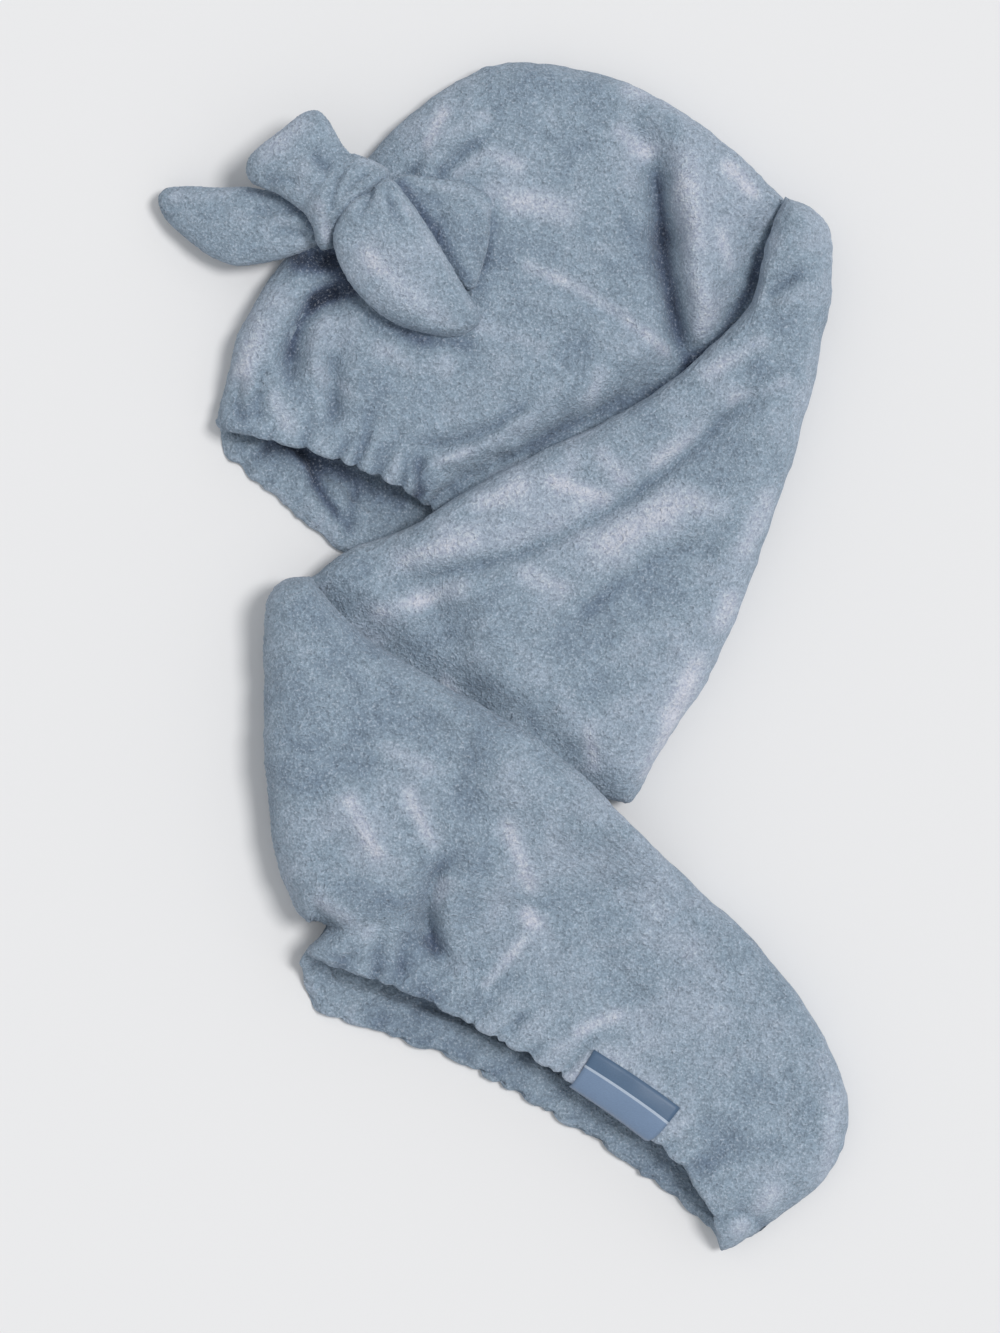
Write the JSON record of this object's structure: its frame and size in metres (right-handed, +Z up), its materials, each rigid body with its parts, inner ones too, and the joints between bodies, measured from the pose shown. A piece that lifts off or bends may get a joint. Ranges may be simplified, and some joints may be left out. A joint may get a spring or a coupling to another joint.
{
  "type": "hair turban towel",
  "caption": "Plush hair turban towel with a tied bow, lying folded in a zigzag, with a gathered elastic mouth at each end.",
  "frame": {"origin": "on the surface it lies on, under the middle of the folded towel", "axes": "+Y towards the upper hood with the bow, +X towards the right fold, +Z up"},
  "size_m": [0.3596, 0.615, 0.0521],
  "materials": {
    "plush": "soft brushed pile",
    "label_satin": "satin"
  },
  "bodies": {
    "root": {"upper_hood": "plush", "crossing_band": "plush", "lower_hood": "plush", "hood_hem": "plush", "pocket_hem": "plush", "bow_knot": "plush", "bow_left_tail": "plush", "bow_upper_loop": "plush", "bow_front_tail": "plush", "bow_back_tail": "plush", "label": "label_satin"}
  },
  "joints": []
}
